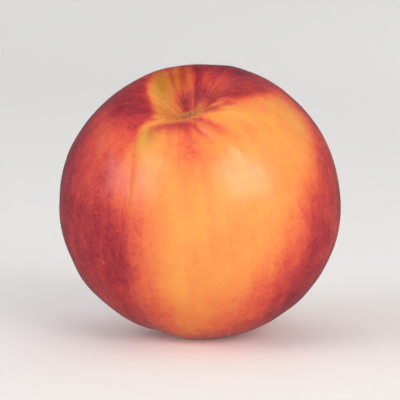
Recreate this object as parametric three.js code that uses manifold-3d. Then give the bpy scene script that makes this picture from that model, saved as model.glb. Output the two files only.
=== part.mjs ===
// A ripe nectarine, whole, as picked without its stalk. It is one solid: a round fruit with a funnel-shaped
// stem cavity, a suture that runs from the cavity down one side to the tip, and a small flat spot to rest on.
// It lies as a round fruit comes to rest, its stem end leaning to the front (-Y) and a little to the left.
// Millimetres, +Z up. The origin is the middle of the bounding box's base.
import * as THREE from "three";
import { mergeVertices } from "three/addons/utils/BufferGeometryUtils.js";
import Module from "manifold-3d";

// Driving dimensions. The fruit's own frame has +Z along the stem axis and the suture at longitude 0, on +X.
const CHEEK_RADIUS = 35.6; // half the width across the cheeks, square to the suture
const SUTURE_RADIUS = 34.7; // half the width from the suture to the back
const CROWN_HEIGHT = 34.3; // from the widest level up to where the crown would be with no cavity
const BASE_HEIGHT = 33.6; // from the widest level down to the tip's end of the fruit
const CROWN_FULLNESS = 2.1; // exponent of the crown's profile: 2 is an ellipse, more is fuller shoulders
const BASE_FULLNESS = 2.04; // exponent of the lower half's profile

const CAVITY_DEPTH = 10.8; // from the crown that would be down to the scar where the stalk let go
const CAVITY_RADIUS = 8.9; // distance from the axis at which the cavity is down to a third of its depth
const CAVITY_STEEPNESS = 1.6; // 2 is a bell shape, less is more of a funnel
const CAVITY_ALONG_SUTURE = 0.1; // how much longer the cavity is along the suture's plane than across it
const CAVITY_TO_SUTURE = 0.06; // how much further it reaches on the suture's side
const CAVITY_TO_LEFT = 0.14; // how much further it reaches to the left of the suture, and less to the right
const SHOULDER_RISE = 1.6; // of the shoulder behind the cavity; the two cheeks' shoulders rise half of it
const SHOULDER_RADIUS = 14.5; // distance of the shoulders' crests from the axis
const SHOULDER_SPREAD = 9; // how far in and out from the crests that rise dies away

const SUTURE_DEPTH = 0.6; // of the groove at the widest level
const SUTURE_NOTCH = 1.4; // how much deeper the groove is where it leaves the cavity
const SUTURE_TROUGH = 4.6; // half width of the groove's soft trough
const SUTURE_CREASE = 1.1; // half width of the sharper crease in the trough
const CREASE_SHARE = 0.25; // how much of the groove's depth is the crease's
const SUTURE_STARTS = [7, 20]; // polar angles in degrees between which the groove fades in
const SUTURE_ENDS = [166, 179]; // and between which it fades out again
const NOTCH_POLAR = 25; // polar angle in degrees at which the notch is deepest
const NOTCH_REACH = 20; // degrees above and below it at which the notch has died away
const FRONT_FADE = 0.3; // cosine of the angle from the suture at which its groove and lip start to fade out
const SUTURE_SWING = 16; // degrees that the suture swings to the left where it crosses the cavity's rim
const SWING_POLAR = 25; // polar angle in degrees at which it has swung furthest
const SUTURE_LIP = 0.45; // the right cheek swells this much over the left one along the suture
const LIP_STEP = 1.6; // half width of the step between the two cheeks
const LIP_REACH = 11; // how far round the cheek that swelling dies away

const TIP_DIMPLE = 1.1; // the shallow dimple at the blossom end
const TIP_DIMPLE_REACH = 11.5; // degrees out from the tip at which it has died away
const TIP_POINT = 0.9; // the small point in the dimple
const TIP_POINT_REACH = 4; // degrees out from the tip at which that has died away
const SWELLS = [
  // gentle unevenness of the growing fruit: height, waves round, turn, and how it twists with the level
  { height: 0.32, waves: 2, turn: 0.7, twist: 0.9 },
  { height: 0.26, waves: 3, turn: 2.1, twist: -0.6 },
  { height: 0.14, waves: 5, turn: 4.0, twist: 1.3 },
];

const LEAN_FORWARD = 22; // degrees that the stem axis leans from upright towards -Y
const LEAN_LEFT = 6; // degrees that it leans towards -X
const SUTURE_TURN = 33; // degrees that the suture lies to the left of the fruit's nearest meridian
const FLAT_DEPTH = 0.75; // how much of the round underside the small flat spot takes away

const COLUMNS = 72; // round the fruit
const RINGS = 54; // from the scar to the tip
const COLUMN_GATHER = 0.62; // how much closer together the columns lie by the suture
const RING_GATHER = 0.1; // how much closer together the rings lie in the cavity and at the tip
const POLE_GATHER = 0.018; // and how much more so next to the scar and the tip's point

const { PI, abs, cos, exp, hypot, sign, sin, tanh } = Math;
const smoothstep = THREE.MathUtils.smoothstep;
const radians = THREE.MathUtils.degToRad;
const degrees = THREE.MathUtils.radToDeg;

// A bell: 1 at nought, less by a factor of e at the reach.
function bell(value, reach) {
  return exp(-((value / reach) ** 2));
}

// How deep the suture's groove is at a polar angle: deepest where it notches the cavity's rim.
function sutureDepth(polar) {
  const level = degrees(polar);
  const leavesCavity = smoothstep(level, ...SUTURE_STARTS);
  const reachesTip = 1 - smoothstep(level, ...SUTURE_ENDS);
  const notch = bell(level - NOTCH_POLAR, NOTCH_REACH);
  return leavesCavity * reachesTip * (SUTURE_DEPTH + SUTURE_NOTCH * notch);
}

// The suture's longitude at a polar angle: it swings out over the rim and comes back to its meridian below.
function sutureLongitude(polar) {
  const swing = (polar / radians(SWING_POLAR)) ** 2;
  return -radians(SUTURE_SWING) * swing * exp(1 - swing);
}

// The point of the skin at a polar angle (0 at the scar, PI at the tip) and an angle round from the suture.
function skinPoint(polar, fromSuture) {
  const longitude = fromSuture + sutureLongitude(polar);
  const upper = cos(polar) > 0;
  const power = 2 / (upper ? CROWN_FULLNESS : BASE_FULLNESS);
  const reach = sin(polar) ** power;
  const x = SUTURE_RADIUS * reach * cos(longitude);
  const y = CHEEK_RADIUS * reach * sin(longitude);
  let z = (upper ? CROWN_HEIGHT : BASE_HEIGHT) * sign(cos(polar)) * abs(cos(polar)) ** power;

  const fromAxis = hypot(x, y);
  if (upper) {
    const along = CAVITY_ALONG_SUTURE * cos(2 * longitude) + CAVITY_TO_SUTURE * cos(longitude);
    const cavityReach = CAVITY_RADIUS * (1 + along - CAVITY_TO_LEFT * sin(longitude));
    z -= CAVITY_DEPTH * exp(-((fromAxis / cavityReach) ** CAVITY_STEEPNESS));
    const crest = bell(fromAxis - SHOULDER_RADIUS, SHOULDER_SPREAD);
    z += SHOULDER_RISE * crest * (0.5 - 0.5 * cos(longitude));
  }

  // What is left is raised or sunk along the line from the fruit's centre.
  const front = smoothstep(cos(fromSuture), 0, FRONT_FADE);
  const across = fromAxis * sin(fromSuture);
  const trough = bell(across, SUTURE_TROUGH);
  const groove = trough + CREASE_SHARE * (exp(-abs(across) / SUTURE_CREASE) - trough);
  const lip = SUTURE_LIP * tanh(across / LIP_STEP) * exp(-abs(across) / LIP_REACH) * sin(polar);
  const fromTip = degrees(PI - polar);
  const tip = TIP_POINT * bell(fromTip, TIP_POINT_REACH) - TIP_DIMPLE * bell(fromTip, TIP_DIMPLE_REACH);
  const swell = SWELLS.reduce(
    (sum, s) => sum + s.height * cos(s.waves * longitude + s.turn + s.twist * cos(polar)) * sin(polar) ** 2,
    0,
  );
  const rise = front * (lip - sutureDepth(polar) * groove) + tip + swell;
  const point = new THREE.Vector3(x, y, z);
  return point.addScaledVector(point.clone().normalize(), rise);
}

// Columns lie closer together by the suture, and rings closer together in the cavity and at the tip.
function columnAngle(column) {
  const even = (2 * PI * column) / COLUMNS;
  return even - COLUMN_GATHER * sin(even);
}
function ringPolar(ring) {
  const even = ring / RINGS;
  return PI * (even - RING_GATHER * sin(2 * PI * even) - POLE_GATHER * sin(4 * PI * even));
}

// The closed skin: a pole at the scar, rings of quads split in two, and a pole at the tip.
function skinGeometry() {
  const corners = [skinPoint(0, 0)];
  for (let ring = 1; ring < RINGS; ring++)
    for (let column = 0; column < COLUMNS; column++)
      corners.push(skinPoint(ringPolar(ring), columnAngle(column)));
  corners.push(skinPoint(PI, 0));

  const at = (ring, column) => 1 + (ring - 1) * COLUMNS + (column % COLUMNS);
  const last = corners.length - 1;
  const faces = [];
  for (let column = 0; column < COLUMNS; column++) {
    faces.push(0, at(1, column), at(1, column + 1));
    for (let ring = 1; ring < RINGS - 1; ring++) {
      const [a, b] = [at(ring, column), at(ring, column + 1)];
      const [c, d] = [at(ring + 1, column), at(ring + 1, column + 1)];
      faces.push(a, c, d, a, d, b);
    }
    faces.push(last, at(RINGS - 1, column + 1), at(RINGS - 1, column));
  }
  return new THREE.BufferGeometry().setFromPoints(corners).setIndex(faces);
}

// Turns the fruit from its own frame to the way it lies.
function layDown(geometry) {
  geometry.rotateZ(radians(-90 - SUTURE_TURN));
  geometry.rotateX(radians(LEAN_FORWARD));
  return geometry.rotateY(radians(-LEAN_LEFT));
}

const wasm = await Module();
wasm.setup();

function solidOf(geometry) {
  const bare = geometry.clone();
  bare.deleteAttribute("normal");
  bare.deleteAttribute("uv");
  const merged = mergeVertices(bare);
  return new wasm.Manifold(
    new wasm.Mesh({
      numProp: 3,
      vertProperties: new Float32Array(merged.attributes.position.array),
      triVerts: new Uint32Array(merged.index.array),
    }),
  );
}

function geometryOf(solid) {
  const mesh = solid.getMesh();
  return new THREE.BufferGeometry()
    .setAttribute("position", new THREE.BufferAttribute(new Float32Array(mesh.vertProperties), 3))
    .setIndex(new THREE.BufferAttribute(new Uint32Array(mesh.triVerts), 1));
}

// Takes the flat spot off the underside, by a block whose top face lies just above the lowest point.
function withFlatSpot(geometry) {
  geometry.computeBoundingBox();
  const side = 2 * CHEEK_RADIUS;
  const block = new THREE.BoxGeometry(side, side, side);
  block.translate(0, 0, geometry.boundingBox.min.z + FLAT_DEPTH - side / 2);
  return geometryOf(solidOf(geometry).subtract(solidOf(block)));
}

// Moves the origin to the middle of the bounding box's base.
function standOnOrigin(geometry) {
  geometry.computeBoundingBox();
  const middle = geometry.boundingBox.getCenter(new THREE.Vector3());
  return geometry.translate(-middle.x, -middle.y, -geometry.boundingBox.min.z);
}

const skin = new THREE.MeshStandardMaterial({ color: 0xe0652f, roughness: 0.42, metalness: 0 });

const geometry = standOnOrigin(withFlatSpot(layDown(skinGeometry())));
geometry.computeVertexNormals();
const nectarine = new THREE.Mesh(geometry, skin);
nectarine.name = "nectarine";

const part = new THREE.Group();
part.add(nectarine);

export default part;
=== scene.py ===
import math

import bpy
import numpy as np
from mathutils import Matrix, Vector


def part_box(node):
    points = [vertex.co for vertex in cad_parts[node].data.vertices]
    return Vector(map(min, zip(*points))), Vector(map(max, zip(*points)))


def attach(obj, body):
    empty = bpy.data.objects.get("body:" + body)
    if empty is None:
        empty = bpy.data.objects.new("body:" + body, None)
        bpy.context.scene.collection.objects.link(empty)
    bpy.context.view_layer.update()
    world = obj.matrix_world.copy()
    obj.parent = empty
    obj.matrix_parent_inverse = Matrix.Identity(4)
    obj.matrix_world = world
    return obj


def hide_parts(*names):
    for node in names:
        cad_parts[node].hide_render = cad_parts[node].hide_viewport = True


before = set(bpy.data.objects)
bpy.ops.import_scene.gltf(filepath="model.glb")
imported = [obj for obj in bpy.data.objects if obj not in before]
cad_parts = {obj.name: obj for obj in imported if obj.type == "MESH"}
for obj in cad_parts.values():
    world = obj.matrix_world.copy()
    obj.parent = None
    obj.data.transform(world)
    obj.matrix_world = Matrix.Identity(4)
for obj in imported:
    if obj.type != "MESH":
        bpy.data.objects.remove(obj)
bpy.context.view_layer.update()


# The nectarine. One body that swelled round its stone under a thin, smooth, waxy skin: a ball with a funnel
# where the stalk let go, a suture from there to the blossom end, and a small flat spot where it rests. It
# grew whole on the tree, and the sun and the leaves over it drew its colours.

# Its form, in millimetres and in the fruit's own frame: the stem axis on +Z and the suture on +X.
CHEEK_RADIUS = 35.6
SUTURE_RADIUS = 34.7
CROWN_HEIGHT, CROWN_FULLNESS = 34.3, 2.1
BASE_HEIGHT, BASE_FULLNESS = 33.6, 2.04
CAVITY_DEPTH, CAVITY_RADIUS, CAVITY_STEEPNESS = 10.8, 8.9, 1.6
CAVITY_ALONG_SUTURE, CAVITY_TO_SUTURE, CAVITY_TO_LEFT = 0.10, 0.06, 0.14
SHOULDER_RISE, SHOULDER_RADIUS, SHOULDER_SPREAD = 1.6, 14.5, 9.0
SUTURE_DEPTH, SUTURE_NOTCH = 0.6, 1.4
SUTURE_TROUGH, SUTURE_CREASE, CREASE_SHARE = 4.6, 1.1, 0.25
SUTURE_STARTS, SUTURE_ENDS = np.radians([7, 20]), np.radians([166, 179])
NOTCH_POLAR, NOTCH_REACH = np.radians([25, 20])
SUTURE_SWING, SWING_POLAR = np.radians([16, 25])
SUTURE_LIP, LIP_STEP, LIP_REACH = 0.45, 1.6, 11.0
FRONT_FADE = 0.3  # the cosine of the angle at which the suture's groove and lip start to fade out
TIP_POINT, TIP_DIMPLE = 0.9, 1.1
TIP_POINT_REACH, TIP_DIMPLE_REACH = np.radians([4, 11.5])
SWELLS = [(0.32, 2, 0.7, 0.9), (0.26, 3, 2.1, -0.6), (0.14, 5, 4.0, 1.3)]  # height, waves, turn, twist

PUCKER_HEIGHT, PUCKER_MIDDLE = 0.26, 0.8  # of the small folds that run out of the funnel
PUCKERS = [(11, 0.4, 1.0), (17, 2.0, 0.7), (26, 1.1, 0.45)]  # waves round, turn, share
PUCKER_STARTS = (1.6, 4.0)  # how far from the axis they fade in
PUCKER_RADIUS, PUCKER_SPREAD = 8.0, 6.0
PUCKER_SIDE, PUCKER_SIDE_REACH = math.radians(75), 1.2
PUCKER_LEAST = 0.4  # their share of that height on the other side
STROKES = [
    # Single folds and streaks, each an arc from one place on the skin to another. A place is its polar angle
    # and its angle from the suture. Then the half width at either end, the height, and how much redder and
    # how much more olive it is. Most folds that dip are also painted redder and some that rise paler: red
    # streaks of the skin, with painted shade in the creases and painted light on the ridges.
    ((23, 48), (45, 65), (0.6, 1.6), 0.36, 0.0, 0.0),
    ((19, 49), (38, 73), (0.8, 1.5), -0.32, 0.16, 0.0),
    ((20, 67), (38, 98), (0.7, 2.2), 0.26, -0.08, 0.0),
    ((15, 70), (26, 106), (0.8, 1.4), -0.34, 0.26, 0.0),
    ((12, 96), (28, 121), (0.9, 1.6), 0.20, 0.0, 0.0),
    ((14, 63), (24, 80), (1.5, 1.4), 0.0, 0.38, 0.0),
    ((26, 59), (35, 63), (1.2, 1.5), 0.0, 0.12, 0.0),
    ((23, 47), (38, 57), (0.6, 1.3), -0.28, 0.15, 0.0),
    # A darker red line and a red band under the funnel's near lip: red skin, darkened as a painted shadow
    # under the lip.
    ((22.5, 14), (24, 54), (0.9, 1.0), -0.05, 0.11, 0.0),
    ((25.5, 10), (27.5, 60), (1.9, 2.6), 0.0, 0.32, 0.0),
    ((19, 51), (36, 69), (0.9, 1.4), 0.0, 0.15, 0.0),
    ((20, 36), (54, 34), (4.2, 5.0), 0.0, 0.18, 0.0),
    ((24, 44), (44, 38), (0.7, 1.4), -0.06, 0.10, 0.0),
    ((24, 28), (40, 26), (0.6, 1.2), -0.05, 0.09, 0.0),
    ((27, 53), (56, 48), (0.9, 1.8), 0.0, 0.07, 0.0),
    ((25, -4), (42, 9), (1.8, 2.6), 0.0, -0.16, 0.05),
    ((24, 6), (33, 14), (0.5, 0.7), -0.08, 0.04, 0.2),
    ((44, 2), (70, 1), (1.4, 1.8), 0.0, -0.07, 0.0),
    ((27, -109), (11, -76), (2.0, 1.5), 0.0, -0.06, 0.6),
    ((26, -116), (10, -114), (0.9, 0.6), -0.08, 0.16, 0.2),
    # A dark red streak down the funnel's far wall: red skin, made darker with olive as painted shade in the
    # fold.
    ((26, -129), (11, -131), (1.9, 1.0), 0.06, 0.30, 0.3),
    ((24, -88), (14, -54), (1.0, 0.8), 0.10, -0.05, 0.0),
]
STROKE_STARTS, STROKE_ENDS = (-0.15, 0.2), (0.5, 1.2)  # shares of the way along it
SCAR_RADIUS, SCAR_EDGE = 2.3, 0.3  # the corky disc where the stalk sat
SCAR_RIM, SCAR_RIM_WIDTH = 0.32, 0.35
SCAR_RAGGED = [(0.08, 5, 1.0), (0.05, 9, 0.0)]  # share of the radius, waves round, turn
SCAR_GRAIN, SCAR_WAVES, SCAR_LENGTHS, SCAR_SEED = 0.10, 30, (0.5, 1.3), 3
DENT_HEIGHT, DENT_WAVES, DENT_LENGTHS, DENT_SEED = 0.05, 60, (7, 16), 7  # they break up a highlight
CROWN_LEVEL = 1.0  # the polar angle, in radians, down to which the funnel and its scar reach
RINGS, COLUMNS = 298, 330
RING_GATHER, POLE_GATHER, COLUMN_GATHER = 0.1, 0.018, 0.5
POLE = 1e-6  # the polar angle of the grid's corner at the scar, next to nought


def smooth_step(value, low, high):
    """0 below low, 1 above high, and 3t^2 - 2t^3 between them."""
    t = np.clip((value - low) / (high - low), 0, 1)
    return t * t * (3 - 2 * t)


def bell(value, reach):
    """1 at nought, falling by e at the reach, as exp(-(value / reach)^2)."""
    return np.exp(-((value / reach) ** 2))


def wrapped(angle):
    """An angle brought to between minus half a turn and half a turn."""
    return (angle + np.pi) % (2 * np.pi) - np.pi


def suture_longitude(polar):
    """The suture's longitude: minus the swing, times s e^(1 - s), where s is (polar / 25 degrees) squared."""
    s = (polar / SWING_POLAR) ** 2
    return -SUTURE_SWING * s * np.exp(1 - s)


def plain_form(polar, longitude):
    """The fruit without its suture: a superellipse of revolution, wider at the cheeks, less a bell at the
    crown for the stem cavity, plus a low ring for the shoulders that is highest at the back."""
    upper = np.cos(polar) > 0
    power = np.where(upper, 2 / CROWN_FULLNESS, 2 / BASE_FULLNESS)
    reach = np.sin(polar) ** power
    x = SUTURE_RADIUS * reach * np.cos(longitude)
    y = CHEEK_RADIUS * reach * np.sin(longitude)
    height = np.where(upper, CROWN_HEIGHT, BASE_HEIGHT)
    z = height * np.sign(np.cos(polar)) * np.abs(np.cos(polar)) ** power
    from_axis = np.hypot(x, y)
    along = CAVITY_ALONG_SUTURE * np.cos(2 * longitude) + CAVITY_TO_SUTURE * np.cos(longitude)
    cavity_reach = CAVITY_RADIUS * (1 + along - CAVITY_TO_LEFT * np.sin(longitude))
    cavity = CAVITY_DEPTH * np.exp(-((from_axis / cavity_reach) ** CAVITY_STEEPNESS))
    crest = bell(from_axis - SHOULDER_RADIUS, SHOULDER_SPREAD)
    shoulder = SHOULDER_RISE * crest * (0.5 - 0.5 * np.cos(longitude))
    return x, y, z + np.where(upper, shoulder - cavity, 0), from_axis


def suture_rise(polar, from_suture, from_axis):
    """A wide soft trough with a narrower crease in it, deepest at the cavity's rim, and a low step up to the
    right cheek that dies away round it."""
    front = smooth_step(np.cos(from_suture), 0, FRONT_FADE)
    across = from_axis * np.sin(from_suture)
    trough = bell(across, SUTURE_TROUGH)
    groove = trough + CREASE_SHARE * (np.exp(-np.abs(across) / SUTURE_CREASE) - trough)
    ends = smooth_step(polar, *SUTURE_STARTS) * (1 - smooth_step(polar, *SUTURE_ENDS))
    depth = ends * (SUTURE_DEPTH + SUTURE_NOTCH * bell(polar - NOTCH_POLAR, NOTCH_REACH))
    lip = SUTURE_LIP * np.tanh(across / LIP_STEP) * np.exp(-np.abs(across) / LIP_REACH) * np.sin(polar)
    return front * (lip - depth * groove)


def tip_rise(polar):
    """A shallow bell-shaped dimple at the blossom end with a small bell-shaped point in it."""
    from_tip = np.pi - polar
    return TIP_POINT * bell(from_tip, TIP_POINT_REACH) - TIP_DIMPLE * bell(from_tip, TIP_DIMPLE_REACH)


def swell_rise(polar, longitude):
    """A few slow waves round the fruit that twist with the level and vanish at both ends."""
    waves = [
        height * np.cos(count * longitude + turn + twist * np.cos(polar))
        for height, count, turn, twist in SWELLS
    ]
    return sum(waves) * np.sin(polar) ** 2


def pucker_rise(from_axis, longitude):
    """Small folds that radiate from the scar: cosines of the longitude, pinched to ridges, which fade out
    over the rim. They are strongest on the right-hand side of the suture."""
    folds = sum(share * np.cos(count * longitude + turn) for count, turn, share in PUCKERS)
    here = bell(from_axis - PUCKER_RADIUS, PUCKER_SPREAD) * smooth_step(from_axis, *PUCKER_STARTS)
    near_side = bell(wrapped(longitude - PUCKER_SIDE), PUCKER_SIDE_REACH)
    side = PUCKER_LEAST + (1 - PUCKER_LEAST) * near_side
    return PUCKER_HEIGHT * here * side * (np.abs(folds) - PUCKER_MIDDLE)


def stroke_end(place):
    """The direction from the fruit's centre to a place on the skin."""
    level, angle = (np.radians([degrees]) for degrees in place)
    end = np.concatenate(plain_form(level, angle + suture_longitude(level))[:3])
    return end / np.linalg.norm(end)


def strokes(points, outward, column):
    """The sum of one column of the strokes. Each is a bell across the great circle through its ends, of a
    width that changes evenly from one to the other, and it fades in at the first and out at the second."""
    total = np.zeros(len(points))
    for start, end, (first_width, last_width), *amounts in STROKES:
        first, last = stroke_end(start), stroke_end(end)
        sideways = np.cross(first, last) / np.linalg.norm(np.cross(first, last))
        onward = np.cross(sideways, first)
        along = np.arctan2(outward @ onward, outward @ first) / np.arctan2(last @ onward, last @ first)
        width = first_width + (last_width - first_width) * np.clip(along, 0, 1)
        faded = smooth_step(along, *STROKE_STARTS) * (1 - smooth_step(along, *STROKE_ENDS))
        total += amounts[column] * faded * bell(points @ sideways, width)
    return total


def plane_waves(points, count, length_range, seed):
    """The sum of many plane waves with seeded directions, lengths and phases, brought to about 1 high."""
    rng = np.random.default_rng(seed)
    directions = rng.normal(size=(count, 3))
    directions /= np.linalg.norm(directions, axis=1, keepdims=True)
    lengths = rng.uniform(*length_range, count)
    phases = rng.uniform(0, 2 * np.pi, count)
    waves = np.cos(points @ (directions * (2 * np.pi / lengths)[:, None]).T + phases)
    return waves.sum(axis=1) / math.sqrt(count / 2)


def scar_rise(points, from_axis, longitude):
    """The stalk's scar: a low ragged rim round a disc that is rough with short waves."""
    uneven = sum(share * np.cos(count * longitude + turn) for share, count, turn in SCAR_RAGGED)
    ragged = SCAR_RADIUS * (1 + uneven)
    rim = SCAR_RIM * bell(from_axis - ragged, SCAR_RIM_WIDTH)
    inside = 1 - smooth_step(from_axis, ragged - SCAR_EDGE, ragged + SCAR_EDGE)
    grain = SCAR_GRAIN * plane_waves(points, SCAR_WAVES, SCAR_LENGTHS, SCAR_SEED)
    return rim + inside * grain


def fruit_points(polar, from_suture):
    """The plain form, with every other rise added along the line from the fruit's centre."""
    longitude = from_suture + suture_longitude(polar)
    x, y, z, from_axis = plain_form(polar, longitude)
    points = np.stack([x, y, z], axis=1)
    outward = points / np.linalg.norm(points, axis=1, keepdims=True)
    rise = suture_rise(polar, from_suture, from_axis) + tip_rise(polar) + swell_rise(polar, longitude)
    in_crown = pucker_rise(from_axis, longitude) + scar_rise(points, from_axis, longitude)
    rise += in_crown * (polar < CROWN_LEVEL) + strokes(points, outward, 0)
    rise += DENT_HEIGHT * plane_waves(points, DENT_WAVES, DENT_LENGTHS, DENT_SEED)
    return points + outward * rise[:, None], outward, longitude, from_axis


def grid_angles():
    """Polar angles and angles from the suture: at the scar, at every corner of a grid that is closest
    together at both ends and along the suture, and at the tip."""
    ring = np.arange(1, RINGS) / RINGS
    gathered = RING_GATHER * np.sin(2 * np.pi * ring) + POLE_GATHER * np.sin(4 * np.pi * ring)
    even = 2 * np.pi * np.arange(COLUMNS) / COLUMNS
    around = even - COLUMN_GATHER * np.sin(even)
    levels, angles = np.meshgrid(np.pi * (ring - gathered), around, indexing="ij")
    return (
        np.concatenate([[POLE], levels.ravel(), [np.pi - POLE]]),
        np.concatenate([[0.0], angles.ravel(), [0.0]]),
    )


def grid_faces():
    """Quads between the rings, closed round, and a fan of triangles at the scar and at the tip."""
    column = np.arange(COLUMNS)
    after = (column + 1) % COLUMNS
    start = 1 + np.arange(RINGS - 2)[:, None] * COLUMNS
    below = start + COLUMNS
    quads = np.stack([start + column, below + column, below + after, start + after], axis=2)
    last = 1 + (RINGS - 2) * COLUMNS
    crown = np.stack([np.zeros(COLUMNS, int), 1 + column, 1 + after], axis=1)
    base = np.stack([np.full(COLUMNS, last + COLUMNS), last + after, last + column], axis=1)
    return crown.tolist() + quads.reshape(-1, 4).tolist() + base.tolist()


# How it lies. It rolled to rest on the side of its blossom end, with its stem end leaning to the front, and
# its weight presses a small flat spot underneath.
LEAN_FORWARD, LEAN_LEFT, SUTURE_TURN = np.radians([22, 6, 33])
FLAT_DEPTH = 0.75
FLAT_SOFTNESS = 0.12  # how far above the surface the skin starts to spread
MILLIMETRE = 0.001


def lay_down(points):
    """Turned about the stem axis, leaned forward, then leaned to the left, as one rotation."""
    turn = Matrix.Rotation(-math.pi / 2 - SUTURE_TURN, 3, "Z")
    lean = Matrix.Rotation(LEAN_FORWARD, 3, "X")
    left = Matrix.Rotation(-LEAN_LEFT, 3, "Y")
    return points @ np.array(left @ lean @ turn).T


def rest_on_floor(points):
    """Lowered until the flat spot is at height 0: a height h below it becomes 0 by (h + sqrt(h^2 + s^2)) / 2,
    which rounds the spot's edge. The box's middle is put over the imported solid's."""
    height = points[:, 2] - points[:, 2].min() - FLAT_DEPTH
    height = (height + np.sqrt(height**2 + FLAT_SOFTNESS**2)) / 2
    height = height - height.min()
    flat = np.stack([points[:, 0], points[:, 1], height], axis=1) * MILLIMETRE
    low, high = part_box("nectarine")
    middle = (flat.min(axis=0) + flat.max(axis=0)) / 2
    return flat + np.array([(low.x + high.x) / 2 - middle[0], (low.y + high.y) / 2 - middle[1], 0])


polar, from_suture = grid_angles()
own_points, outward, longitude, from_axis = fruit_points(polar, from_suture)
skin_mesh = bpy.data.meshes.new("nectarine_skin")
skin_mesh.from_pydata(rest_on_floor(lay_down(own_points)).tolist(), [], grid_faces())
skin_mesh.polygons.foreach_set("use_smooth", np.ones(len(skin_mesh.polygons), bool))
nectarine_skin = bpy.data.objects.new("nectarine_skin", skin_mesh)
bpy.context.scene.collection.objects.link(nectarine_skin)

# Its blush. Sun reddens the skin, and leaves that lie on it leave paler shapes, so one cheek is yellow-orange
# and the other crimson to maroon, with one pale lobe in the funnel. The cheeks meet in a line at the suture
# above, and run into each other lower down. A few of the shapes paint shading too: darker red deep in the
# funnel and along the left rims as painted shade, and a paler patch on the left cheek as a painted highlight.
OPEN_SKIN = 0.78  # the blush where nothing shaded the skin
SHADED_SKIN = 0.25  # and where a leaf lay over it
SHADED_CHEEK = [
    # polar angle; the angle from the suture where the shade starts, how softly, where it ends, how softly
    (6, -16, 10, 62, 20),
    (14, -10, 7, 91, 12),
    (20, -10, 5, 98, 11),
    (26, -4, 5, 117, 11),
    (34, 2, 7, 132, 13),
    (42, -2, 16, 134, 16),
    (56, -1, 20, 114, 18),
    (68, 4, 22, 89, 21),
    (77, 3, 18, 79, 24),
    (95, 5, 20, 62, 27),
    (120, 10, 26, 48, 34),
    (150, 10, 40, 30, 50),
]
SHADED_FUNNEL = [
    # angle from the suture, how far down from the scar the pale lobe reaches there, how softly it ends
    (-180, 6.5, 2.5),
    (-164, 5, 3.5),
    (-152, 10.5, 4),
    (-144, 16, 5),
    (-135, 24, 5),
    (-120, 25, 5),
    (-104, 25, 4.5),
    (-88, 20, 3),
    (-72, 17.5, 2.5),
    (-57, 14.5, 2.5),
    (-30, 14, 2.5),
    (-12, 17.5, 3),
    (4, 17, 3),
    (20, 9, 3),
    (40, 5, 2.5),
]
CORNER, CORNER_STEPS, CORNER_REACH = 6, 9, 0.6  # how far to each side a table's corners are rounded
BLUSH_AND_PAINTED_SHADING_SHAPES = [
    # centre's polar angle, angle from the suture, reach down, reach round, and how much redder
    (39, -20, 9, 18, -0.14),
    (45, -44, 13, 24, -0.07),
    (34, -9, 4.5, 6, -0.15),
    (28, 107, 5, 10, 0.09),
    (19, 58, 4, 6, 0.10),
    (31, 14, 4, 7, -0.04),
    (66, -42, 10, 9, 0.06),
    (58, 52, 16, 16, -0.04),
    (13, -80, 5, 22, -0.13),
    # Redder along the upper left rim: maroon skin, deepened as painted shade at that edge.
    (27, -40, 7, 24, 0.10),
    # Much redder deep in the funnel: red skin, darkened as painted shade in the funnel's depth.
    (6.5, -132, 4, 28, 0.52),
    (19, -114, 9, 6, 0.06),
    (11, -150, 5, 12, 0.10),
    (15, -161, 5, 6, -0.13),
    (15, 176, 6, 20, -0.10),
    (12, 140, 5, 32, -0.12),
    # A paler patch on the left cheek: a painted highlight, widening the fill light's reflection there.
    (57, -23, 13, 9, -0.11),
    (84, -6, 18, 10, 0.08),
    (46, 76, 14, 22, -0.05),
    (18, -138, 8, 8, 0.08),
    (80, 26, 20, 12, -0.03),
    (120, 172, 26, 34, -0.20),
    (92, -128, 26, 18, -0.14),
    (60, 168, 18, 24, 0.10),
    # Redder over the left rim: maroon skin, darkened further as painted shade along that edge.
    (62, -72, 30, 24, 0.26),
    (25, -172, 8, 34, 0.16),
    (110, -60, 34, 26, 0.12),
    (130, 60, 26, 34, 0.10),
    (168, 20, 22, 90, -0.30),
]
OLIVE_AND_PAINTED_SHADE_SHAPES = [
    # the same, for how much more olive and darker. The first three darken the funnel's far wall as painted
    # shade, over its olive skin
    (17, -112, 9, 34, 0.60),
    (20, -132, 6, 16, 0.30),
    (12, -134, 4, 16, 0.25),
    (10, -50, 7, 50, 0.30),
    (31, 14, 4.5, 8, 0.36),
    (176, 0, 14, 180, 0.30),
]
SCAR_STAIN = (2.1, 2.8)  # millimetres from the axis between which the cork gives way to skin
TIP_STAIN = 0.035  # radians from the tip
FUNNEL_RADIUS = 9.0  # millimetres from the axis


def rounded(place, table, column, period=None):
    """The straight lines through a table's points, their corners rounded by a bell-weighted mean of nearby
    places."""
    knots, values = np.array(table, float)[:, [0, column]].T
    steps = np.linspace(-1, 1, CORNER_STEPS)
    weights = bell(steps, CORNER_REACH) / bell(steps, CORNER_REACH).sum()
    nearby = [np.interp(place + CORNER * step, knots, values, period=period) for step in steps]
    return sum(weight * value for weight, value in zip(weights, nearby))


def shaded_cheek():
    """1 on the cheek that leaves shaded, from where its shade starts to where it ends at each level."""
    level, around = np.degrees(polar), np.degrees(wrapped(from_suture))
    columns = [rounded(level, SHADED_CHEEK, column) for column in (1, 2, 3, 4)]
    start, start_softness, end, end_softness = columns
    started = smooth_step(around, start - start_softness, start + start_softness)
    return started * (1 - smooth_step(around, end - end_softness, end + end_softness))


def shaded_funnel():
    """1 in the pale lobe inside the funnel, out to its edge at each angle."""
    level, around = np.degrees(polar), np.degrees(wrapped(from_suture))
    edge, softness = rounded(around, SHADED_FUNNEL, 1, 360), rounded(around, SHADED_FUNNEL, 2, 360)
    return 1 - smooth_step(level, edge - softness, edge + softness)


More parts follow.
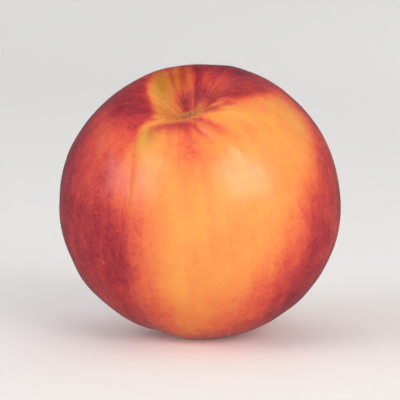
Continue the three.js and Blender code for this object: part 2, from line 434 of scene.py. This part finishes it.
def shapes(listed):
    """The sum of the listed shapes: a bell in the polar angle times a bell in the angle from the suture."""
    total = np.zeros_like(polar)
    for centre, side, down_reach, round_reach, strength in listed:
        apart = np.degrees(wrapped(from_suture - math.radians(side)))
        total += strength * bell(np.degrees(polar) - centre, down_reach) * bell(apart, round_reach)
    return total


def keep_on_points(mesh, name, values):
    """Stores a number, or a vector, for each point of a mesh as a named attribute."""
    kind, field = ("FLOAT", "value") if values.ndim == 1 else ("FLOAT_VECTOR", "vector")
    mesh.attributes.new(name, kind, "POINT").data.foreach_set(field, values.astype(np.float32).ravel())


shade = np.maximum(shaded_cheek(), shaded_funnel())
in_crown = polar < CROWN_LEVEL
blush = OPEN_SKIN + (SHADED_SKIN - OPEN_SKIN) * shade + shapes(BLUSH_AND_PAINTED_SHADING_SHAPES)
keep_on_points(skin_mesh, "blush", blush + strokes(own_points, outward, 1))
keep_on_points(skin_mesh, "olive_and_painted_shade", shapes(OLIVE_AND_PAINTED_SHADE_SHAPES) + strokes(own_points, outward, 2))
keep_on_points(skin_mesh, "scar", (1 - smooth_step(from_axis, *SCAR_STAIN)) * in_crown)
keep_on_points(skin_mesh, "tip", bell(np.pi - polar, TIP_STAIN))
keep_on_points(skin_mesh, "funnel", bell(from_axis, FUNNEL_RADIUS) * in_crown)
keep_on_points(skin_mesh, "streaks", np.stack([np.cos(longitude), np.sin(longitude), polar], axis=1))

# Its finish. The skin is thin and waxed, and the flesh glows faintly through it. Mottling, streaks that run
# down from the stalk, stipples and pale pores break up the blush.
BLUSH_COLOURS = [
    (0.00, (255, 194, 74)),
    (0.18, (254, 168, 84)),
    (0.36, (251, 140, 76)),
    (0.52, (240, 106, 72)),
    (0.66, (218, 76, 66)),
    (0.82, (180, 48, 60)),
    (1.00, (122, 28, 46)),
]
# A darkening multiply: the olive tint of the skin, and painted shade where the funnel's wall is laid darker.
OLIVE_AND_PAINTED_SHADE_COLOUR = (196, 180, 134)
PORE_COLOUR = (246, 160, 116)
TIP_COLOUR = (92, 58, 34)
CORK_COLOURS = [(0.35, (196, 92, 54)), (0.6, (255, 180, 110))]

CLOUDS = {"scale": 95, "detail": 3, "roughness": 0.55, "distortion": 0.3}
CLOUDS_SHIFT = (0.05, 0, 0)
STREAKS = {"scale": 1, "detail": 3, "roughness": 0.6}
BROAD_STREAKS, FINE_STREAKS = (4.2, 4.2, 1.3), (16, 16, 2.2)  # how close they lie, round and down
MOTTLE = {"scale": 330, "detail": 3, "roughness": 0.6}
FRECKLES = {"scale": 1150, "roughness": 0.6}
NOISE_MIDDLE = 0.5
BREAKS = {"clouds": 0.30, "broad": 0.32, "fine": 0.22, "mottle": 0.20, "freckles": 0.14}  # of the blush
BREAKS_GROW, BREAKS_SHARE = (0.0, 0.6), (0.45, 1.0)  # the blush over which they grow, from and to what share
STIPPLE = 0.07  # how much redder the reddest freckles are
STIPPLE_FRECKLES, STIPPLE_BLUSH = (0.52, 0.68), (0.2, 0.45)  # the freckles and the blush where it comes in
PORES, PORE_PATCHES, PORE_PATCH_RANGE = 430, {"scale": 300, "detail": 1}, (0.4, 0.7)
PORE_SIZES, PORE_SOFTNESS = (0.05, 0.13), (-0.02, 0.03)
PORE_STRENGTH, PORE_BLUSH = 0.36, (0.45, 0.8)  # pores show where the skin is red
CORK = {"scale": 1500, "detail": 3, "roughness": 0.7}

WAX, WAX_RANGE = {"scale": 260, "detail": 3, "roughness": 0.6}, (0.3, 0.7)
WAX_ROUGHNESS, CORK_ROUGHNESS = (0.24, 0.34), 0.4
COAT_WEIGHT, COAT_ROUGHNESS = 0.10, 0.14
FLESH_GLOW, FLESH_RADIUS, FLESH_SCALE = 0.16, (1.0, 0.32, 0.12), 0.004
GRAIN = {"scale": 2400, "detail": 3, "roughness": 0.6}
GRAIN_HEIGHT, PIT_HEIGHT, PIT_WIDTH, FOLD_HEIGHT = 0.00003, 0.00002, (0.02, 0.16), 0.0006  # in metres


def linear(colour):
    """A colour of 0 to 255 as a screen shows it, by the sRGB curve, as the linear values a shader takes."""
    share = np.array(colour) / 255
    low, high = share / 12.92, ((share + 0.055) / 1.055) ** 2.4
    return (*np.where(share <= 0.04045, low, high), 1.0)


class Finish:
    """A material's node tree, with a short way to add and join its nodes."""

    def __init__(self, name):
        self.material = bpy.data.materials.new(name)
        self.material.use_nodes = True
        self.tree = self.material.node_tree
        self.shader = self.tree.nodes["Principled BSDF"]

    def put(self, socket, value):
        """Joins another node's output to a socket, or sets the socket to a plain value."""
        if isinstance(value, bpy.types.NodeSocket):
            self.tree.links.new(value, socket)
        else:
            socket.default_value = value

    def node(self, kind, **settings):
        made = self.tree.nodes.new(kind)
        for name, value in settings.items():
            setattr(made, name, value)
        return made

    def attribute(self, name, output="Fac"):
        return self.node("ShaderNodeAttribute", attribute_name=name).outputs[output]

    def math(self, operation, *values):
        made = self.node("ShaderNodeMath", operation=operation)
        for socket, value in zip(made.inputs, values):
            self.put(socket, value)
        return made.outputs[0]

    def spread(self, value, low, high, new_low, new_high):
        """A value's range from low to high, eased to the range from new_low to new_high."""
        made = self.node("ShaderNodeMapRange", interpolation_type="SMOOTHSTEP")
        for socket, setting in zip(made.inputs, (value, low, high, new_low, new_high)):
            self.put(socket, setting)
        return made.outputs[0]

    def mapped(self, vector, scale, shift=(0, 0, 0)):
        """A place times the scale, plus the shift, for a pattern to read."""
        made = self.node("ShaderNodeMapping")
        self.put(made.inputs["Vector"], vector)
        self.put(made.inputs["Scale"], scale)
        self.put(made.inputs["Location"], shift)
        return made.outputs[0]

    def noise(self, vector, scale, detail=2.0, roughness=0.5, distortion=0.0):
        """Soft noise of about 0 to 1, whose grains are the finer the larger the scale."""
        made = self.node("ShaderNodeTexNoise")
        settings = {"Vector": vector, "Scale": scale, "Detail": detail}
        settings.update({"Roughness": roughness, "Distortion": distortion})
        for name, value in settings.items():
            self.put(made.inputs[name], value)
        return made.outputs["Fac"]

    def dots(self, vector, scale):
        """The distance from the nearest of many scattered dots, 0 in a dot's middle."""
        made = self.node("ShaderNodeTexVoronoi")
        self.put(made.inputs["Vector"], vector)
        self.put(made.inputs["Scale"], scale)
        return made.outputs["Distance"]

    def blend(self, share, first, second, mode="MIX"):
        """The first colour with a share of the second laid over it. A mix node's colours come after its
        sockets for numbers and vectors."""
        made = self.node("ShaderNodeMix", data_type="RGBA", blend_type=mode)
        for socket, value in zip((made.inputs[0], made.inputs[6], made.inputs[7]), (share, first, second)):
            self.put(socket, value)
        return made.outputs[2]

    def ramp(self, value, stops):
        """A value turned into a colour, through stops that run softly into one another."""
        made = self.node("ShaderNodeValToRGB")
        made.color_ramp.interpolation = "B_SPLINE"
        stop_list = made.color_ramp.elements
        while len(stop_list) < len(stops):
            stop_list.new(0.5)
        for stop, (position, colour) in zip(stop_list, stops):
            stop.position = position
            stop.color = linear(colour)
        self.put(made.inputs[0], value)
        return made.outputs[0]

    def bump(self, height, distance, under=None):
        """The normal of a fine relief, laid on that of the relief under it."""
        made = self.node("ShaderNodeBump")
        self.put(made.inputs["Height"], height)
        self.put(made.inputs["Distance"], distance)
        if under is not None:
            self.put(made.inputs["Normal"], under)
        return made.outputs[0]


def skin_finish():
    """The blush with its painted shading, broken up by clouds, streaks, mottle and freckles, run through a
    ramp of colours. Olive with painted shade in the funnel, pores, the tip and the cork are laid over it in
    turn."""
    skin = Finish("nectarine_skin")
    place = skin.node("ShaderNodeTexCoord").outputs["Object"]
    along = skin.attribute("streaks", "Vector")
    scar = skin.attribute("scar")
    funnel = skin.attribute("funnel")

    patterns = {
        "clouds": skin.noise(skin.mapped(place, (1, 1, 1), CLOUDS_SHIFT), **CLOUDS),
        "broad": skin.noise(skin.mapped(along, BROAD_STREAKS), **STREAKS),
        "fine": skin.noise(skin.mapped(along, FINE_STREAKS), **STREAKS),
        "mottle": skin.noise(place, **MOTTLE),
        "freckles": skin.noise(place, **FRECKLES),
    }
    broken = 0.0
    for name, share in BREAKS.items():
        apart = skin.math("SUBTRACT", patterns[name], NOISE_MIDDLE)
        broken = skin.math("MULTIPLY_ADD", apart, share, broken)
    blush = skin.attribute("blush")
    blush = skin.math("MULTIPLY_ADD", broken, skin.spread(blush, *BREAKS_GROW, *BREAKS_SHARE), blush)
    stipple = skin.spread(patterns["freckles"], *STIPPLE_FRECKLES, 0.0, STIPPLE)
    stipple = skin.math("MULTIPLY", stipple, skin.spread(blush, *STIPPLE_BLUSH, 0.0, 1.0))
    blush = skin.math("ADD", blush, stipple)

    colour = skin.ramp(blush, BLUSH_COLOURS)
    # Olive tint and painted shade in the funnel, multiplied over the blush's colour.
    colour = skin.blend(skin.attribute("olive_and_painted_shade"), colour, linear(OLIVE_AND_PAINTED_SHADE_COLOUR), "MULTIPLY")
    pore = skin.dots(place, PORES)
    pore_size = skin.spread(skin.noise(place, **PORE_PATCHES), *PORE_PATCH_RANGE, *PORE_SIZES)
    in_pore = skin.spread(skin.math("SUBTRACT", pore_size, pore), *PORE_SOFTNESS, 0.0, 1.0)
    in_pore = skin.math("MULTIPLY", in_pore, skin.spread(blush, *PORE_BLUSH, 0.0, PORE_STRENGTH))
    colour = skin.blend(in_pore, colour, linear(PORE_COLOUR))
    colour = skin.blend(skin.attribute("tip"), colour, linear(TIP_COLOUR))
    colour = skin.blend(scar, colour, skin.ramp(skin.noise(place, **CORK), CORK_COLOURS))
    skin.put(skin.shader.inputs["Base Color"], colour)

    waxed = skin.spread(skin.noise(place, **WAX), *WAX_RANGE, *WAX_ROUGHNESS)
    skin.put(skin.shader.inputs["Roughness"], skin.math("MULTIPLY_ADD", scar, CORK_ROUGHNESS, waxed))
    skin.put(skin.shader.inputs["Coat Weight"], COAT_WEIGHT)
    skin.put(skin.shader.inputs["Coat Roughness"], COAT_ROUGHNESS)
    skin.put(skin.shader.inputs["Subsurface Weight"], FLESH_GLOW)
    skin.put(skin.shader.inputs["Subsurface Radius"], FLESH_RADIUS)
    skin.put(skin.shader.inputs["Subsurface Scale"], FLESH_SCALE)

    grain = skin.bump(skin.noise(place, **GRAIN), GRAIN_HEIGHT)
    pits = skin.bump(skin.spread(pore, *PIT_WIDTH, 0.0, 1.0), PIT_HEIGHT, grain)
    folds = skin.bump(skin.math("MULTIPLY", patterns["fine"], funnel), FOLD_HEIGHT, pits)
    skin.put(skin.shader.inputs["Normal"], folds)
    return skin.material


skin_mesh.materials.append(skin_finish())
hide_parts("nectarine")
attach(nectarine_skin, "root")


# The studio floor. A pale matt board that sweeps up all round into a wall, so that no edge shows from any
# side. It is a photographer's cyclorama, painted off-white with a roller.
FLOOR_FLAT, FLOOR_SWEEP, WALL_TOP = 0.9, 0.9, 2.4  # the flat's radius, the sweep's, and the wall's height
FLOOR_SIDES, SWEEP_STEPS = 96, 25
FLOOR_COLOURS = [(0.3, (249, 248, 247)), (0.7, (252, 251, 250))]
FLOOR_MOTTLE = {"scale": 3}
FLOOR_ROUGHNESS, FLOOR_GLOSS, FLOOR_GLOW = 0.75, 0.2, 0.06


def studio_floor():
    """A bowl: flat, then a quarter circle up, then a straight wall, all turned round the axis."""
    turn = np.linspace(0, np.pi / 2, SWEEP_STEPS)
    swept = FLOOR_FLAT + FLOOR_SWEEP * np.sin(turn)
    radius = np.concatenate([[FLOOR_FLAT / 2], swept, [FLOOR_FLAT + FLOOR_SWEEP]])
    height = np.concatenate([[0.0], FLOOR_SWEEP * (1 - np.cos(turn)), [WALL_TOP]])
    around = 2 * np.pi * np.arange(FLOOR_SIDES) / FLOOR_SIDES
    across = np.outer(radius, np.cos(around)), np.outer(radius, np.sin(around))
    rings = [*across, np.outer(height, np.ones(FLOOR_SIDES))]
    column = np.arange(FLOOR_SIDES)
    after = (column + 1) % FLOOR_SIDES
    start = 1 + np.arange(len(radius) - 1)[:, None] * FLOOR_SIDES
    beyond = start + FLOOR_SIDES
    quads = np.stack([start + column, beyond + column, beyond + after, start + after], axis=2)
    middle = np.stack([np.zeros(FLOOR_SIDES, int), 1 + column, 1 + after], axis=1)
    mesh = bpy.data.meshes.new("studio_floor")
    points = np.concatenate([[[0.0, 0.0, 0.0]], np.stack(rings, axis=2).reshape(-1, 3)])
    mesh.from_pydata(points.tolist(), [], middle.tolist() + quads.reshape(-1, 4).tolist())
    mesh.polygons.foreach_set("use_smooth", np.ones(len(mesh.polygons), bool))
    floor = bpy.data.objects.new("studio_floor", mesh)
    bpy.context.scene.collection.objects.link(floor)
    return floor


def floor_finish():
    """Matt off-white paint with a faint unevenness, which glows a little to soften the shadow."""
    paint = Finish("studio_floor")
    place = paint.node("ShaderNodeTexCoord").outputs["Object"]
    colour = paint.ramp(paint.noise(place, **FLOOR_MOTTLE), FLOOR_COLOURS)
    paint.put(paint.shader.inputs["Base Color"], colour)
    paint.put(paint.shader.inputs["Roughness"], FLOOR_ROUGHNESS)
    paint.put(paint.shader.inputs["Specular IOR Level"], FLOOR_GLOSS)
    paint.put(paint.shader.inputs["Emission Color"], linear((255, 255, 255)))
    paint.put(paint.shader.inputs["Emission Strength"], FLOOR_GLOW)
    return paint.material


floor = studio_floor()
floor.data.materials.append(floor_finish())
floor.visible_glossy = False  # so the waxed skin shows the softboxes, with no pale sheen round its edge


# The lights. Square softboxes of white cloth on stands: a key to the right of the camera, a weaker fill well
# round to its left, a broad one high over the table and a faint one behind. Only the first two show in the
# waxed skin.
SOFTBOXES = [
    # name, place, aim, side, power, tint, whether it shows in the skin
    ("key_light", (0.58, -0.86, 0.50), (0, 0, 0.03), 0.64, 5.4, (255, 250, 244), True),
    ("fill_light", (-0.84, -0.47, 0.50), (0, 0, 0.03), 0.72, 3.2, (248, 249, 255), True),
    ("top_light", (0.0, 0.2, 2.3), (0, 0, 0), 2.2, 9, (255, 253, 250), False),
    ("back_light", (0.4, 0.95, 0.45), (0, 0, 0.03), 0.6, 0.5, (250, 250, 255), False),
]
SURROUND_COLOUR, SURROUND_STRENGTH = (240, 243, 248), 0.18


def softbox(name, place, aim, side, power, tint, shows):
    """A square panel light at a place, turned to face a point, both in metres."""
    light = bpy.data.lights.new(name, "AREA")
    light.shape = "SQUARE"
    light.size = side
    light.energy = power
    light.color = linear(tint)[:3]
    panel = bpy.data.objects.new(name, light)
    panel.location = place
    panel.rotation_euler = (Vector(aim) - Vector(place)).to_track_quat("-Z", "Y").to_euler()
    panel.visible_camera = False
    panel.visible_glossy = shows
    bpy.context.scene.collection.objects.link(panel)


for box in SOFTBOXES:
    softbox(*box)

surround = bpy.data.worlds.new("pale_surround")
surround.use_nodes = True
backdrop = surround.node_tree.nodes["Background"]
backdrop.inputs["Color"].default_value = linear(SURROUND_COLOUR)
backdrop.inputs["Strength"].default_value = SURROUND_STRENGTH
bpy.context.scene.world = surround
bpy.context.scene.view_settings.view_transform = "Standard"


# The camera. It stands far off with a long lens, straight in front of the fruit and a little above it, on a
# tripod at table height.
CAMERA_LENS, CAMERA_SENSOR = 200.0, 36.0
CAMERA_ELEVATION = math.radians(7)
FRUIT_SHARE = 0.70  # of the picture's width

low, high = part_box("nectarine")
centre = (low + high) / 2
distance = (high.x - low.x) / FRUIT_SHARE * CAMERA_LENS / CAMERA_SENSOR
camera = bpy.data.objects.new("camera", bpy.data.cameras.new("camera"))
camera.data.lens = CAMERA_LENS
camera.data.sensor_width = CAMERA_SENSOR
camera.location = (
    centre.x,
    centre.y - distance * math.cos(CAMERA_ELEVATION),
    centre.z + distance * math.sin(CAMERA_ELEVATION),
)
camera.rotation_euler = (math.pi / 2 - CAMERA_ELEVATION, 0, 0)
bpy.context.scene.collection.objects.link(camera)
bpy.context.scene.camera = camera
